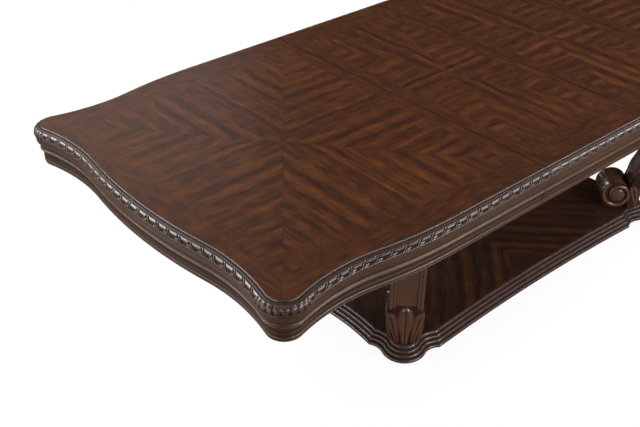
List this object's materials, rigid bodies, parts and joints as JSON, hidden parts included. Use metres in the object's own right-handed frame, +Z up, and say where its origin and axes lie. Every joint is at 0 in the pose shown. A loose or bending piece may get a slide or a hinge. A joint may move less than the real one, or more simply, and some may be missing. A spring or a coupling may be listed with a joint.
{
  "type": "extending dining table",
  "caption": "Long dining table with serpentine carved edge, striped veneer top that pulls apart on geared slides for lift-out leaves, and scroll legs on a reeded plinth.",
  "frame": {"origin": "on the floor under the middle of the table", "axes": "+X along the length, +Y across to the back, +Z up"},
  "size_m": [2.7492, 1.1592, 0.762],
  "materials": {
    "veneer": "satin lacquered veneer",
    "moulding": "dark satin lacquer",
    "leg_wood": "dark satin lacquer",
    "inner_wood": "plain sanded",
    "steel": "zinc plated",
    "glide": "smooth"
  },
  "bodies": {
    "base": {"floor_glides": "glide", "frame_rail_back": "inner_wood", "frame_rail_front": "inner_wood", "frame_rail_left": "inner_wood", "frame_rail_right": "inner_wood", "leg_back_left": "leg_wood", "leg_back_right": "leg_wood", "leg_foot_bolts": "steel", "leg_front_left": "leg_wood", "leg_front_right": "leg_wood", "leg_head_bolts": "steel", "pinion_axle": "steel", "pinion_bridge": "inner_wood", "plinth_cross_rails": "inner_wood", "plinth_edge_back": "moulding", "plinth_edge_front": "moulding", "plinth_edge_left": "moulding", "plinth_edge_right": "moulding", "plinth_panel": "veneer", "plinth_rail_back": "inner_wood", "plinth_rail_front": "inner_wood", "slide_guide_back": "inner_wood", "slide_guide_front": "inner_wood", "volute_buttons": "leg_wood"},
    "left_top": {"left_apron_back": "moulding", "left_apron_end": "moulding", "left_apron_front": "moulding", "left_carved_edge_back": "moulding", "left_carved_edge_end": "moulding", "left_carved_edge_front": "moulding", "left_lock_pivot": "steel", "left_rack": "steel", "left_runner_back": "inner_wood", "left_runner_front": "inner_wood", "left_slide_screws": "steel", "left_top_panel": "veneer"},
    "right_top": {"right_apron_back": "moulding", "right_apron_end": "moulding", "right_apron_front": "moulding", "right_carved_edge_back": "moulding", "right_carved_edge_end": "moulding", "right_carved_edge_front": "moulding", "right_lock_pivot": "steel", "right_rack": "steel", "right_runner_back": "inner_wood", "right_runner_front": "inner_wood", "right_slide_screws": "steel", "right_top_panel": "veneer"},
    "leaf_left": {"leaf_left_aprons": "moulding", "leaf_left_carved_edges": "moulding", "leaf_left_panel": "veneer", "leaf_left_stud": "steel"},
    "leaf_right": {"leaf_right_aprons": "moulding", "leaf_right_carved_edges": "moulding", "leaf_right_panel": "veneer", "leaf_right_stud": "steel"},
    "pinion": {"equaliser_pinion": "steel"},
    "left_lock": {"left_lock_lever": "steel"},
    "right_lock": {"right_lock_lever": "steel"}
  },
  "joints": [
    {"name": "left_slide", "type": "slide", "parent": "base", "child": "left_top", "axis": [-1, 0, 0], "range_m": [0, 0.075]},
    {"name": "right_slide", "type": "slide", "parent": "base", "child": "right_top", "axis": [1, 0, 0], "range_m": [0, 0.075]},
    {"name": "pinion_turn", "type": "hinge", "parent": "base", "child": "pinion", "pos_m": [0, 0, 0.72], "axis": [0, 0, 1], "range_deg": [0, 143.3]},
    {"name": "leaf_left_lift", "type": "slide", "parent": "base", "child": "leaf_left", "axis": [0, 0, 1], "range_m": [0, 0.35]},
    {"name": "leaf_right_lift", "type": "slide", "parent": "base", "child": "leaf_right", "axis": [0, 0, 1], "range_m": [0, 0.35]},
    {"name": "left_lock_turn", "type": "hinge", "parent": "left_top", "child": "left_lock", "pos_m": [-0.487, 0.40565, 0.729], "axis": [0, 0, 1], "range_deg": [0, 90]},
    {"name": "right_lock_turn", "type": "hinge", "parent": "right_top", "child": "right_lock", "pos_m": [0.487, -0.40565, 0.729], "axis": [0, 0, 1], "range_deg": [0, 90]}
  ],
  "couplings": [
    {"joint": "right_slide", "follows": "left_slide", "ratio": 1},
    {"joint": "pinion_turn", "follows": "left_slide", "rad_per_m": 33.333}
  ]
}
